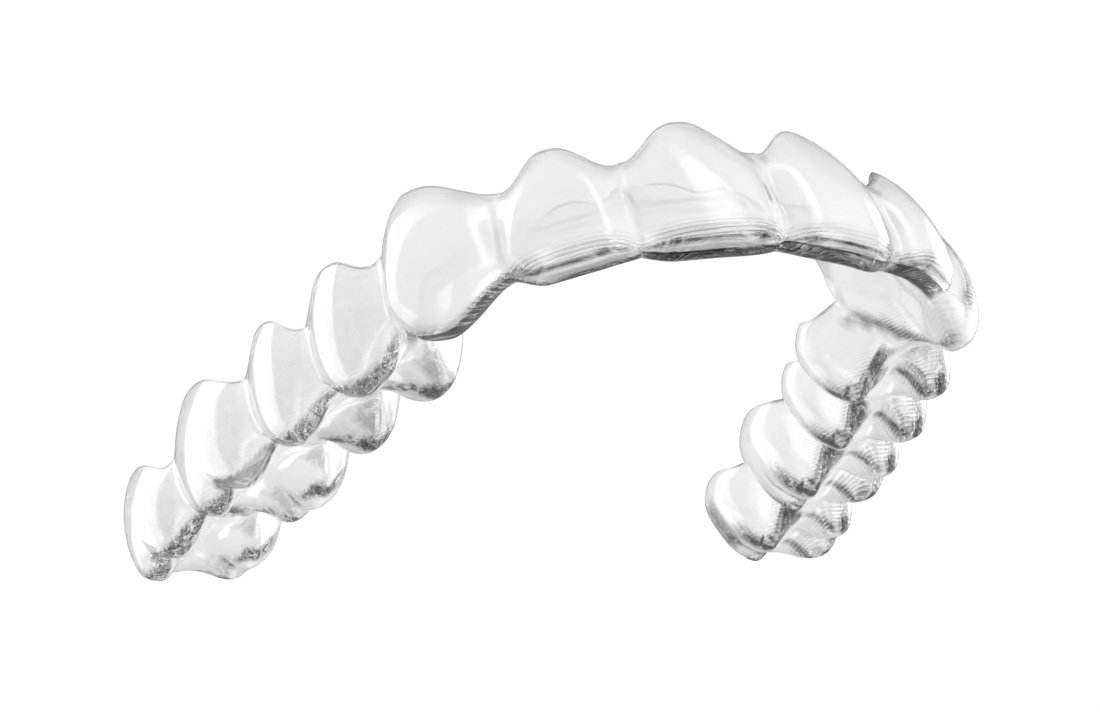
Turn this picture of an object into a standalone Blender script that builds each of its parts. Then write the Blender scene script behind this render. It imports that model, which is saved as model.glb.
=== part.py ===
"""Clear aligner for the upper teeth: one thin shell, formed hot over a model of the arch and trimmed.

Run with: blender --background --python part.py

The outer face is a loft. Each tooth has a cross-section of thirteen spots, which runs from the trimmed
edge on the cheek side, over the biting edge or the cusps, to the trimmed edge on the palate side. The
sections blend from tooth to tooth, sink into a groove at each contact, and close round the last molar.
Solidify then gives the sheet its wall.

Frame: the shell rests on its trimmed edge with the biting side up (+Z). The front teeth face -Y, and the
arch opens towards +Y. The wearer's right is at +X. The origin is below the middle, on the resting plane.
"""

import math
from typing import NamedTuple

import bpy
import numpy as np
from mathutils import Vector

MM = 0.001  # the sizes below are in millimetres, and Blender's are in metres

# The sheet
WALL = 0.6  # after forming, from a flat sheet of 0.75 mm

# The arch line: it runs along the rear corner of the biting edges and the tips of the cheek-side cusps
ARCH_TURN_RIGHT = 86.0  # degrees that the right side turns through, from the midline to the last molar
ARCH_TURN_LEFT = 84.4  # the left side is a little wider
ARCH_BEND = 27.6  # distance along the line in which most of the turn is made
ARCH_SQUARENESS = 3.2  # a higher value keeps the turn even, then ends it sooner
MIDLINE_SHIFT = 0.5  # of the central incisors to the left
TAKEN_UP_RIGHT = (1, 2)  # contacts between which the right side takes up the shift, so its teeth are wider
TAKEN_UP_LEFT = (2, 4)  # the same for the left side, whose teeth are narrower there

# How the shell changes between the middle of a tooth and its contacts with the next teeth
CONTACT_BLEND = 1.8  # half the length over which one tooth's section turns into the next one's
FRONT_GROOVE_SHARPNESS = 3.4  # a higher value gives flatter tooth faces and narrower grooves
BACK_GROOVE_SHARPNESS = 2.4  # from the first premolar back
TRIM_SHARPNESS = 2.6  # the same, for the waves of the trimmed edge
CUSP_STEEPNESS = 0.25  # fall of a ridge, 1 mm away from its cusp
CUSP_SHARPNESS = 1.5  # 1 is a pointed cusp, a higher value is rounder
END_SQUARENESS = 2.8  # of the last molar's far end, seen from above: 2 is round, more is squarer
END_HEIGHT = 0.75  # of the far end, as a share of the height before it rounds off

# How the shell rests: its trimmed edge is deeper at the front teeth, so it lies tipped back
REST_PITCH = 2.8  # degrees

# How finely the shell is faceted
STEP_ALONG = 1.3  # between sections, along the arch
END_STEPS = 6  # round the far half of each last molar
SPOT_STEPS = 2  # between neighbouring spots of a section
LINE_POINTS = 4001  # in which the arch line is summed up

TOP_SPOT = 6  # the spot of a section that stays in place as the far end narrows


class Spot(NamedTuple):
    """A point of a cross-section at the middle of a tooth, and how it moves elsewhere."""

    out: float  # outwards from the arch line
    up: float  # upwards from the biting level
    out_at_contact: float  # added to these two at the contacts
    up_at_contact: float
    cheek_cusp: float  # share of the fall away from the cheek-side cusps
    palate_cusp: float  # share of the fall away from the palate-side cusps


# Incisors and canines: a bevelled biting edge, a hollow behind it, and a shelf near the gum
FRONT_SECTION = [
    Spot(-1.00, -9.60, 0.6, 2.5, 0.0, 0.0),  # trimmed edge, cheek side
    Spot(0.40, -7.70, -0.3, 1.8, 0.0, 0.0),
    Spot(1.40, -5.20, -1.2, 0.8, 0.0, 0.0),
    Spot(1.75, -2.90, -1.3, 0.0, 0.2, 0.0),
    Spot(1.60, -1.55, -1.1, -0.4, 0.7, 0.0),  # front of the bevel
    Spot(0.75, -0.55, -0.7, -0.7, 1.0, 0.0),
    Spot(-0.35, -0.35, -0.3, -0.7, 1.0, 0.0),  # biting edge
    Spot(-1.05, -1.20, -0.7, -0.5, 0.8, 0.0),
    Spot(-1.60, -2.80, -0.7, -0.2, 0.4, 0.0),
    Spot(-2.40, -4.60, -0.2, 0.0, 0.0, 0.0),  # hollow behind the edge
    Spot(-4.20, -6.00, 1.0, 0.2, 0.0, 0.0),
    Spot(-5.60, -7.00, 1.5, 0.5, 0.0, 0.0),  # shelf near the gum
    Spot(-6.10, -8.60, 1.5, 1.2, 0.0, 0.0),  # trimmed edge, palate side
]

# Premolars and molars: two rows of cusps, with a groove between them that a ridge closes at each contact
BACK_SECTION = [
    Spot(0.90, -8.20, -0.5, 2.1, 0.0, 0.0),  # trimmed edge, cheek side
    Spot(1.40, -6.40, -1.1, 1.4, 0.0, 0.0),
    Spot(1.55, -4.30, -1.3, 0.5, 0.0, 0.0),  # fullest part of the face
    Spot(1.25, -1.90, -1.2, -0.4, 0.5, 0.0),
    Spot(0.50, -0.35, -0.8, -0.5, 1.0, 0.0),  # cheek-side cusps
    Spot(-0.80, -0.05, -0.6, -0.4, 1.0, 0.0),
    Spot(-2.50, -1.90, -0.2, 0.4, 0.1, 0.0),  # groove
    Spot(-4.30, -0.90, -0.2, -0.2, 0.0, 0.6),
    Spot(-5.50, 0.05, 0.6, -0.9, 0.0, 1.0),  # palate-side cusps
    Spot(-6.80, -0.70, 1.4, -1.3, 0.0, 0.9),
    Spot(-8.20, -3.20, 2.2, -1.0, 0.0, 0.2),
    Spot(-8.60, -5.20, 2.3, 0.0, 0.0, 0.0),  # fullest part of the palate side
    Spot(-8.00, -7.00, 1.7, 1.0, 0.0, 0.0),  # trimmed edge, palate side
]


class Tooth(NamedTuple):
    """One tooth of a side, as the shell covers it. A place along it is -1 and 1 at its contacts."""

    width: float  # along the arch, from contact to contact
    out: float  # how far it stands out of the arch line
    depth: float  # across the arch, over the trimmed edges
    height: float  # from the biting level down to the trimmed edge, cheek side
    palate_height: float  # the same, palate side
    zenith: float  # place where the cheek-side trimmed edge is deepest
    section: list
    cheek_cusps: list  # of (place, drop below the biting level)
    palate_cusps: list


TEETH = {
    "central_incisor": Tooth(8.6, -0.3, 5.0, 9.9, 8.6, 0.0, FRONT_SECTION, [], []),
    "lateral_incisor": Tooth(6.8, 0.6, 4.7, 9.1, 7.8, 0.1, FRONT_SECTION, [], []),
    "canine": Tooth(7.7, 0.8, 5.7, 10.2, 8.6, 0.5, FRONT_SECTION, [(0.0, -0.9)], []),
    "first_premolar": Tooth(7.0, 0.2, 8.6, 7.9, 6.4, 0.1, BACK_SECTION, [(0.0, -0.4)], [(-0.1, 0.2)]),
    "second_premolar": Tooth(6.8, 0.1, 8.4, 7.8, 6.5, 0.1, BACK_SECTION, [(0.0, -0.2)], [(-0.1, -0.2)]),
    "first_molar": Tooth(
        10.2, 0.3, 9.4, 8.1, 6.9, 0.1, BACK_SECTION, [(-0.45, 0.0), (0.42, 0.1)], [(-0.25, -0.5), (0.4, -0.1)]
    ),
    "second_molar": Tooth(
        10.0, 0.3, 9.2, 7.2, 6.6, 0.1, BACK_SECTION, [(-0.42, 0.0), (0.4, 0.0)], [(-0.3, -0.3), (0.3, 0.1)]
    ),
}

# Where neighbouring teeth meet, as distances from the midline
CONTACTS = np.concatenate([[0.0], np.cumsum([tooth.width for tooth in TEETH.values()])])
MIDDLES = (CONTACTS[:-1] + CONTACTS[1:]) / 2
IS_FRONT = np.array([tooth.section is FRONT_SECTION for tooth in TEETH.values()])


def section_of(tooth):
    """A tooth's own cross-section: the shared one, stretched to the tooth's depth and heights."""
    spots = np.array(tooth.section)
    outward, upward = spots[:, 0], spots[:, 1]
    from_palate = (outward[0] - outward) / (outward[0] - outward[-1])
    height_scale = tooth.height / -upward[0]
    palate_scale = tooth.palate_height / -upward[-1]
    spots[:, 1] = upward * (height_scale + (palate_scale - height_scale) * np.clip(from_palate, 0, 1))
    spots[:, 0] = tooth.out + outward * tooth.depth / (outward[0] - outward[-1])
    return spots


def arch_line(distances, full_turn, shift, taken_up):
    """Places on the arch line and its outward directions, seen from above, at distances from the midline.

    The direction turns by full_turn * d / (|d|^P + L^P)^(1/P) at distance d, where L is the bend and P the
    squareness. The places are the running sum of the directions. The front is moved along the line by
    the shift, which fades out between the two contacts that take it up.
    """
    moved = distances + shift * np.interp(distances, CONTACTS[list(taken_up)], [1, 0])
    fine = np.linspace(-1, 1, LINE_POINTS) * CONTACTS[-1]
    turn = math.radians(full_turn) * fine
    turn /= (np.abs(fine) ** ARCH_SQUARENESS + ARCH_BEND**ARCH_SQUARENESS) ** (1 / ARCH_SQUARENESS)
    step = fine[1] - fine[0]
    along = [np.cumsum(np.cos(turn)) * step, np.cumsum(np.sin(turn)) * step]
    places = np.stack([np.interp(moved, fine, line) - np.interp(0, fine, line) for line in along], axis=-1)
    angles = np.interp(moved, fine, turn)
    return places, np.stack([np.sin(angles), -np.cos(angles)], axis=-1)


def tooth_shares(distances):
    """How much each tooth's section counts at each distance: 1 on the tooth, blending at the contacts."""
    passed = [np.clip((distances - contact) / (2 * CONTACT_BLEND) + 0.5, 0, 1) for contact in CONTACTS[1:-1]]
    passed = [np.ones_like(distances), *[p * p * (3 - 2 * p) for p in passed], np.zeros_like(distances)]
    return np.stack([passed[i] - passed[i + 1] for i in range(len(TEETH))], axis=-1)


def ridge_fall(distances, middle, half_width, cusps):
    """How far a row of cusps falls at each distance: from each tip, then the highest of the slopes."""
    falls = [
        drop + CUSP_STEEPNESS * np.abs(distances - middle - place * half_width) ** CUSP_SHARPNESS
        for place, drop in cusps
    ]
    return np.min(falls, axis=0) if falls else np.zeros_like(distances)


def sections(distances):
    """The spots (outward, upward) of the cross-section at each distance, before the last molar closes."""
    nearest = np.clip(np.searchsorted(CONTACTS, distances, side="right") - 1, 0, len(TEETH) - 1)
    place = (distances - MIDDLES[nearest]) / (CONTACTS[nearest + 1] - MIDDLES[nearest])
    sharpness = np.where(IS_FRONT[nearest], FRONT_GROOVE_SHARPNESS, BACK_GROOVE_SHARPNESS)
    groove = (np.abs(place) ** sharpness)[:, None]
    zenith = np.array([tooth.zenith for tooth in TEETH.values()])[nearest]
    from_zenith = (place - zenith) / (1 - np.sign(place - zenith) * zenith)
    wave = (np.abs(np.sin(np.pi / 2 * from_zenith)) ** TRIM_SHARPNESS)[:, None]
    shares = tooth_shares(distances)
    outward, upward = 0, 0
    for index, tooth in enumerate(TEETH.values()):
        spots = section_of(tooth)
        share = shares[:, index : index + 1]
        half_width = tooth.width / 2
        cheek = ridge_fall(distances, MIDDLES[index], half_width, tooth.cheek_cusps)[:, None]
        palate = ridge_fall(distances, MIDDLES[index], half_width, tooth.palate_cusps)[:, None]
        near_trim = np.clip(spots[:, 1] / spots[:, 1].min(), 0, 1)
        rise = groove + (wave - groove) * near_trim
        fall = cheek * spots[:, 4] + palate * spots[:, 5]
        outward = outward + share * (spots[:, 0] + groove * spots[:, 2])
        upward = upward + share * (spots[:, 1] + rise * spots[:, 3] - fall)
    return outward, upward


def smooth_curves(points, steps):
    """Curves through the points of each row: cubic spans whose slopes weigh the chords on both sides."""
    chords = np.diff(points, axis=1)
    lengths = np.linalg.norm(chords, axis=-1, keepdims=True)
    slopes = chords / lengths
    before, after = lengths[:, :-1], lengths[:, 1:]
    inner = (slopes[:, :-1] * after + slopes[:, 1:] * before) / (before + after)
    first, last = 2 * slopes[:, :1] - inner[:, :1], 2 * slopes[:, -1:] - inner[:, -1:]
    tangents = np.concatenate([first, inner, last], axis=1)
    curves = []
    for t in np.arange(steps) / steps:
        curves.append(
            (2 * t**3 - 3 * t**2 + 1) * points[:, :-1]
            + (t**3 - 2 * t**2 + t) * lengths * tangents[:, :-1]
            + (3 * t**2 - 2 * t**3) * points[:, 1:]
            + (t**3 - t**2) * lengths * tangents[:, 1:]
        )
    joined = np.stack(curves, axis=2).reshape(len(points), -1, points.shape[-1])
    return np.concatenate([joined, points[:, -1:]], axis=1)


def section_distances():
    """Distances of the sections from the midline, closer together near each contact, and the end's width.

    Round the far end, the distance follows the sine of an even angle and the width its cosine, each to
    the power of 2 / squareness.
    """
    distances = []
    for tooth, middle in zip(TEETH.values(), MIDDLES):
        steps = 2 * math.ceil(tooth.width / STEP_ALONG / 2)
        distances.append(middle + tooth.width * (np.arange(steps) / steps - 0.5))
    last = distances.pop()
    distances.append(last[last < MIDDLES[-1] - STEP_ALONG / 2])
    angles = np.linspace(0, math.pi / 2, END_STEPS + 1)
    power = 2 / END_SQUARENESS
    end = MIDDLES[-1] + (CONTACTS[-1] - MIDDLES[-1]) * np.sin(angles) ** power
    widths = np.concatenate([np.ones(sum(map(len, distances))), np.abs(np.cos(angles)) ** power])
    widths[-1] = 0
    return np.concatenate([*distances, end]), widths


def outer_face(full_turn, shift, taken_up):
    """The outer face of one side as a grid of points, from the midline to the closed end, in millimetres."""
    distances, widths = section_distances()
    outward, upward = sections(distances)
    widths = widths[:, None]
    middle = outward[:, TOP_SPOT : TOP_SPOT + 1]
    outward = middle + widths * (outward - middle)
    end_trim = (upward[:, :1] + upward[:, -1:]) / 2
    end_upward = end_trim + END_HEIGHT * ((upward + upward[:, ::-1]) / 2 - end_trim)
    upward = widths * upward + (1 - widths) * end_upward
    curves = smooth_curves(np.stack([outward, upward], axis=-1), SPOT_STEPS)
    places, normals = arch_line(distances, full_turn, shift, taken_up)
    flat = places[:, None] + normals[:, None] * curves[..., :1]
    return np.concatenate([flat, curves[..., 1:]], axis=-1)


def sheet_mesh():
    """The outer face of the whole arch as a mesh in metres, with each closed end's two edges joined."""
    left = outer_face(ARCH_TURN_LEFT, MIDLINE_SHIFT, TAKEN_UP_LEFT)
    right = outer_face(ARCH_TURN_RIGHT, -MIDLINE_SHIFT, TAKEN_UP_RIGHT)
    grid = np.concatenate([left[:0:-1] * (-1, 1, 1), right])
    pitch = math.radians(REST_PITCH)
    forward, upward = grid[..., 1].copy(), grid[..., 2].copy()
    grid[..., 1] = forward * math.cos(pitch) + upward * math.sin(pitch)
    grid[..., 2] = upward * math.cos(pitch) - forward * math.sin(pitch)

    rows, columns = grid.shape[:2]
    index = np.arange(rows * columns).reshape(rows, columns)
    half = columns // 2
    for end in (0, -1):
        index[end, half + 1 :] = index[end, :half][::-1]
    quads = np.stack([index[:-1, :-1], index[1:, :-1], index[1:, 1:], index[:-1, 1:]], axis=-1).reshape(-1, 4)
    used, quads = np.unique(quads, return_inverse=True)
    mesh = bpy.data.meshes.new("aligner_shell")
    mesh.from_pydata((grid.reshape(-1, 3)[used] * MM).tolist(), [], quads.reshape(-1, 4).tolist())
    mesh.validate()
    return mesh


def clear_plastic():
    """Clear polyurethane sheet, smooth from the mould."""
    material = bpy.data.materials.new("clear_polyurethane")
    material.use_nodes = True
    shader = material.node_tree.nodes["Principled BSDF"]
    shader.inputs["Base Color"].default_value = (0.93, 0.94, 0.94, 1)
    shader.inputs["Roughness"].default_value = 0.06
    shader.inputs["Metallic"].default_value = 0.0
    shader.inputs["IOR"].default_value = 1.5
    shader.inputs["Transmission Weight"].default_value = 1.0
    return material


def rest_on_origin(shell):
    """Shift the mesh so that the finished shell stands on z = 0, with its bounding box centred on x and y."""
    finished = shell.evaluated_get(bpy.context.evaluated_depsgraph_get())
    corners = np.array(finished.bound_box)
    low, high = corners.min(axis=0), corners.max(axis=0)
    shift = Vector((-(low[0] + high[0]) / 2, -(low[1] + high[1]) / 2, -low[2]))
    for vertex in shell.data.vertices:
        vertex.co += shift


def build():
    for old in list(bpy.data.objects):
        bpy.data.objects.remove(old)
    shell = bpy.data.objects.new("aligner_shell", sheet_mesh())
    bpy.context.collection.objects.link(shell)
    shell.data.materials.append(clear_plastic())
    shell.data.shade_smooth()
    wall = shell.modifiers.new("wall", "SOLIDIFY")
    wall.thickness = WALL * MM
    wall.offset = -1
    wall.use_even_offset = True
    wall.use_quality_normals = True
    rest_on_origin(shell)


build()
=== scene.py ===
"""The looks of a clear aligner for the upper teeth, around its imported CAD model.

One thin shell of clear plastic lies on a white table with its biting side up. The sizes are in
millimetres, and one factor turns them to Blender's metres.
"""

import math
from collections import namedtuple

import bpy
import numpy as np
from mathutils import Matrix, Vector


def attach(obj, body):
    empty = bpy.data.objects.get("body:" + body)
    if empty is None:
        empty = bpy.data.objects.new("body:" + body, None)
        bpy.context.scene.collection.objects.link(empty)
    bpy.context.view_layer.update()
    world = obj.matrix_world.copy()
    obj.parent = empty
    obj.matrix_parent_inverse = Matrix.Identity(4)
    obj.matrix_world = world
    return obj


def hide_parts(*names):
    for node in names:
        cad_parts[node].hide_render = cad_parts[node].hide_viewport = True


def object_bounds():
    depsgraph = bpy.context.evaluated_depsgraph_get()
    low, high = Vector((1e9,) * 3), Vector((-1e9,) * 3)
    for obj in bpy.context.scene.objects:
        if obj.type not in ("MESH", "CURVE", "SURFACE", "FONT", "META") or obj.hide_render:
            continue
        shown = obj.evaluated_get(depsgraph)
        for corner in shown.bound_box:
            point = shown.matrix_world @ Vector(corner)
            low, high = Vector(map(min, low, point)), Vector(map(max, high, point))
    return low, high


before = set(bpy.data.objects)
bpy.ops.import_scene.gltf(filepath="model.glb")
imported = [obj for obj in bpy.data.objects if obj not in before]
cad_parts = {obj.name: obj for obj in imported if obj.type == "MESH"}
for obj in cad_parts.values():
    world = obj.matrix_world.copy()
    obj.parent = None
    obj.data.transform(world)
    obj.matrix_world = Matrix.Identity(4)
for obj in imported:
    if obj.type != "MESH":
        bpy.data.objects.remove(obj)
cad_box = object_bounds()

# The shell: a sheet of clear polyurethane, 0.75 mm thick when flat, heated and drawn down over a
# printed model of the upper teeth, then cut free along the gum line. It thins to 0.6 mm as it forms.

MM = 0.001
WALL = 0.6

# The arch line runs along the rear corner of the biting edges and the tips of the cheek-side cusps
ARCH_TURN_RIGHT = 86.0  # degrees from the midline to the last molar
ARCH_TURN_LEFT = 84.4
ARCH_BEND = 27.6
ARCH_SQUARENESS = 3.2
MIDLINE_SHIFT = 0.5  # of the central incisors to the left
TAKEN_UP_RIGHT = (1, 2)  # contacts between which the right side takes up the shift
TAKEN_UP_LEFT = (2, 4)
LINE_POINTS = 4001  # in which the arch line is summed up

CONTACT_BLEND = 1.8  # half the length over which one tooth's section turns into the next one's
FRONT_GROOVE_SHARPNESS = 3.4  # a higher value gives flatter tooth faces and narrower grooves
BACK_GROOVE_SHARPNESS = 2.4
TRIM_SHARPNESS = 2.6  # the same, for the waves of the trimmed edge
CUSP_STEEPNESS = 0.25  # fall of a ridge, 1 mm away from its cusp
CUSP_SHARPNESS = 1.5  # 1 is a pointed cusp, a higher value is rounder
END_SQUARENESS = 2.8  # of the last molar's far end, seen from above
END_HEIGHT = 0.75  # of the far end, as a share of the height before it rounds off
REST_PITCH = 2.8  # degrees that the shell lies tipped back, as its front is deeper

STEP_ALONG = 0.29  # between sections
END_STEPS = 26
SPOT_STEPS = 9  # between neighbouring spots of a section
TOP_SPOT = 6  # the spot that stays in place as the far end narrows
CANINE, FIRST_PREMOLAR, FIRST_MOLAR = 2, 3, 5  # teeth from the midline, counted from 0
CUT_BULGE = 0.08  # of the trimmed and polished edge
FRONT_HAZE, BACK_HAZE = 0.6, 0.55  # share of the light that the sheet scatters

# Spots of a section at the middle of a tooth: outwards from the arch line, up from the biting level,
# what a contact adds to each, and the shares of the fall away from the cheek-side and palate-side cusps
FRONT_SECTION = [
    (-1.00, -9.60, 0.6, 2.5, 0.0, 0.0),  # trimmed edge, cheek side
    (0.40, -7.70, -0.3, 1.8, 0.0, 0.0),
    (1.40, -5.20, -1.2, 0.8, 0.0, 0.0),
    (1.75, -2.90, -1.3, 0.0, 0.2, 0.0),
    (1.60, -1.55, -1.1, -0.4, 0.7, 0.0),  # front of the bevel
    (0.75, -0.55, -0.7, -0.7, 1.0, 0.0),
    (-0.35, -0.35, -0.3, -0.7, 1.0, 0.0),  # biting edge
    (-1.05, -1.20, -0.7, -0.5, 0.8, 0.0),
    (-1.60, -2.80, -0.7, -0.2, 0.4, 0.0),
    (-2.40, -4.60, -0.2, 0.0, 0.0, 0.0),  # hollow behind the edge
    (-4.20, -6.00, 1.0, 0.2, 0.0, 0.0),
    (-5.60, -7.00, 1.5, 0.5, 0.0, 0.0),  # shelf near the gum
    (-6.10, -8.60, 1.5, 1.2, 0.0, 0.0),  # trimmed edge, palate side
]
BACK_SECTION = [
    (0.90, -8.20, -0.5, 2.1, 0.0, 0.0),  # trimmed edge, cheek side
    (1.40, -6.40, -1.1, 1.4, 0.0, 0.0),
    (1.55, -4.30, -1.3, 0.5, 0.0, 0.0),  # fullest part of the face
    (1.25, -1.90, -1.2, -0.4, 0.5, 0.0),
    (0.50, -0.35, -0.8, -0.5, 1.0, 0.0),  # cheek-side cusps
    (-0.80, -0.05, -0.6, -0.4, 1.0, 0.0),
    (-2.50, -1.90, -0.2, 0.4, 0.1, 0.0),  # groove
    (-4.30, -0.90, -0.2, -0.2, 0.0, 0.6),
    (-5.50, 0.05, 0.6, -0.9, 0.0, 1.0),  # palate-side cusps
    (-6.80, -0.70, 1.4, -1.3, 0.0, 0.9),
    (-8.20, -3.20, 2.2, -1.0, 0.0, 0.2),
    (-8.60, -5.20, 2.3, 0.0, 0.0, 0.0),  # fullest part of the palate side
    (-8.00, -7.00, 1.7, 1.0, 0.0, 0.0),  # trimmed edge, palate side
]

# Each tooth from the midline back: width along the arch, how far it stands out, depth over the
# trimmed edges, height on the cheek side and on the palate side, where the trimmed edge is deepest,
# and its cusps as (place along the tooth, drop below the biting level)
Tooth = namedtuple("Tooth", "width out depth height palate_height zenith section cheek_cusps palate_cusps")
MOLAR_CUSPS = [(-0.45, 0.0), (0.42, 0.1)], [(-0.25, -0.5), (0.4, -0.1)]
LAST_MOLAR_CUSPS = [(-0.42, 0.0), (0.4, 0.0)], [(-0.3, -0.3), (0.3, 0.1)]
TEETH = [
    Tooth(8.6, -0.3, 5.0, 9.9, 8.6, 0.0, FRONT_SECTION, [], []),
    Tooth(6.8, 0.6, 4.7, 9.1, 7.8, 0.1, FRONT_SECTION, [], []),
    Tooth(7.7, 0.8, 5.7, 10.2, 8.6, 0.5, FRONT_SECTION, [(0.0, -0.9)], []),
    Tooth(7.0, 0.2, 8.6, 7.9, 6.4, 0.1, BACK_SECTION, [(0.0, -0.4)], [(-0.1, 0.2)]),
    Tooth(6.8, 0.1, 8.4, 7.8, 6.5, 0.1, BACK_SECTION, [(0.0, -0.2)], [(-0.1, -0.2)]),
    Tooth(10.2, 0.3, 9.4, 8.1, 6.9, 0.1, BACK_SECTION, *MOLAR_CUSPS),
    Tooth(10.0, 0.3, 9.2, 7.2, 6.6, 0.1, BACK_SECTION, *LAST_MOLAR_CUSPS),
]
WIDTHS = np.array([tooth.width for tooth in TEETH])
ZENITHS = np.array([tooth.zenith for tooth in TEETH])
CONTACTS = np.concatenate([[0.0], np.cumsum(WIDTHS)])
MIDDLES = (CONTACTS[:-1] + CONTACTS[1:]) / 2


def ease(values):
    """Smooth step: 3t^2 - 2t^3, with t held between 0 and 1."""
    t = np.clip(values, 0, 1)
    return t * t * (3 - 2 * t)


def section_of(tooth):
    """The shared section stretched to a tooth: depths by its depth, heights by a blend of its two."""
    outward, upward, *shares = np.array(tooth.section).T
    inwards = (outward[0] - outward) / (outward[0] - outward[-1])
    cheek_scale, palate_scale = tooth.height / -upward[0], tooth.palate_height / -upward[-1]
    upward = upward * (cheek_scale + (palate_scale - cheek_scale) * np.clip(inwards, 0, 1))
    outward = tooth.out + outward * tooth.depth / (outward[0] - outward[-1])
    return outward, upward, *shares


def arch_line(distances, full_turn, shift, taken_up):
    """Places on the arch line and its outward directions, seen from above, at distances from the midline.

    The direction turns by full_turn * d / (|d|^P + L^P)^(1/P) at distance d, where L is the bend and P the
    squareness. The places are the running sum of the directions. The front is moved along the line by
    the shift, which fades out between the two contacts that take it up.
    """
    moved = distances + shift * np.interp(distances, CONTACTS[list(taken_up)], [1, 0])
    fine = np.linspace(-1, 1, LINE_POINTS) * CONTACTS[-1]
    turn = math.radians(full_turn) * fine
    turn /= (np.abs(fine) ** ARCH_SQUARENESS + ARCH_BEND**ARCH_SQUARENESS) ** (1 / ARCH_SQUARENESS)
    step = fine[1] - fine[0]
    along = [np.cumsum(np.cos(turn)) * step, np.cumsum(np.sin(turn)) * step]
    places = np.stack([np.interp(moved, fine, line) - np.interp(0, fine, line) for line in along], axis=-1)
    angles = np.interp(moved, fine, turn)
    return places, np.stack([np.sin(angles), -np.cos(angles)], axis=-1)


def tooth_shares(distances):
    """How much each tooth counts at each distance: 1 on the tooth, with a smooth step at each contact."""
    passed = [ease((distances - contact) / (2 * CONTACT_BLEND) + 0.5) for contact in CONTACTS[1:-1]]
    passed = [np.ones_like(distances), *passed, np.zeros_like(distances)]
    return np.stack([passed[i] - passed[i + 1] for i in range(len(TEETH))], axis=-1)


def ridge_fall(distances, middle, half_width, cusps):
    """How far a row of cusps falls: the least of each tip's drop plus steepness * distance^sharpness."""
    falls = [
        drop + CUSP_STEEPNESS * np.abs(distances - middle - place * half_width) ** CUSP_SHARPNESS
        for place, drop in cusps
    ]
    return np.min(falls, axis=0) if falls else np.zeros_like(distances)


def sections(distances):
    """The spots (outward, upward) at each distance: the blended sections, plus what the contacts add.

    A contact's share is |place|^sharpness, and near the trimmed edge |sin|^sharpness of the way from the
    place where that edge is deepest.
    """
    nearest = np.clip(np.searchsorted(CONTACTS, distances, side="right") - 1, 0, len(TEETH) - 1)
    place = (distances - MIDDLES[nearest]) / (CONTACTS[nearest + 1] - MIDDLES[nearest])
    sharpness = np.where(nearest < FIRST_PREMOLAR, FRONT_GROOVE_SHARPNESS, BACK_GROOVE_SHARPNESS)
    groove = (np.abs(place) ** sharpness)[:, None]
    zenith = ZENITHS[nearest]
    from_zenith = (place - zenith) / (1 - np.sign(place - zenith) * zenith)
    wave = (np.abs(np.sin(np.pi / 2 * from_zenith)) ** TRIM_SHARPNESS)[:, None]
    shares = tooth_shares(distances)
    outward, upward = 0, 0
    for index, tooth in enumerate(TEETH):
        out, up, contact_out, contact_up, cheek_share, palate_share = section_of(tooth)
        share = shares[:, index : index + 1]
        cheek = ridge_fall(distances, MIDDLES[index], tooth.width / 2, tooth.cheek_cusps)[:, None]
        palate = ridge_fall(distances, MIDDLES[index], tooth.width / 2, tooth.palate_cusps)[:, None]
        rise = groove + (wave - groove) * np.clip(up / up.min(), 0, 1)
        falls = cheek * cheek_share + palate * palate_share
        outward = outward + share * (out + groove * contact_out)
        upward = upward + share * (up + rise * contact_up - falls)
    return outward, upward


def smooth_curves(points, steps):
    """Curves through the points of each row: cubic spans whose slopes weigh the chords on both sides."""
    chords = np.diff(points, axis=1)
    lengths = np.linalg.norm(chords, axis=-1, keepdims=True)
    slopes = chords / lengths
    before, after = lengths[:, :-1], lengths[:, 1:]
    inner = (slopes[:, :-1] * after + slopes[:, 1:] * before) / (before + after)
    first, last = 2 * slopes[:, :1] - inner[:, :1], 2 * slopes[:, -1:] - inner[:, -1:]
    tangents = np.concatenate([first, inner, last], axis=1)
    t = (np.arange(steps) / steps)[:, None]
    start, end = points[:, :-1, None], points[:, 1:, None]
    leave, arrive = (lengths * tangents[:, :-1])[:, :, None], (lengths * tangents[:, 1:])[:, :, None]
    spans = (2 * t**3 - 3 * t**2 + 1) * start + (t**3 - 2 * t**2 + t) * leave
    spans = spans + (3 * t**2 - 2 * t**3) * end + (t**3 - t**2) * arrive
    joined = spans.reshape(len(points), -1, points.shape[-1])
    return np.concatenate([joined, points[:, -1:]], axis=1)


def section_distances():
    """Distances of the sections, and the width that each keeps of its section.

    Round the far end they follow the sine and the cosine of an even angle, to the power 2 / squareness.
    """
    distances = []
    for width, middle in zip(WIDTHS, MIDDLES):
        steps = 2 * math.ceil(width / STEP_ALONG / 2)
        distances.append(middle + width * (np.arange(steps) / steps - 0.5))
    last = distances.pop()
    distances.append(last[last < MIDDLES[-1] - STEP_ALONG / 2])
    angles = np.linspace(0, math.pi / 2, END_STEPS + 1)
    power = 2 / END_SQUARENESS
    end = MIDDLES[-1] + (CONTACTS[-1] - MIDDLES[-1]) * np.sin(angles) ** power
    widths = np.concatenate([np.ones(sum(map(len, distances))), np.abs(np.cos(angles)) ** power])
    widths[-1] = 0
    return np.concatenate([*distances, end]), widths


# What is known of each point: its height below or above the biting level, its distance from the midline
# (less than 0 on the left), the length and the spots passed along its section, its place on the tooth and
# on the tooth's lobe (a molar has two), both from -1 on the midline's side to 1, and how far it belongs to
# the front teeth and to a canine
FACTS = ("height", "distance", "length", "spot", "place", "lobe", "front", "canine")


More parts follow.
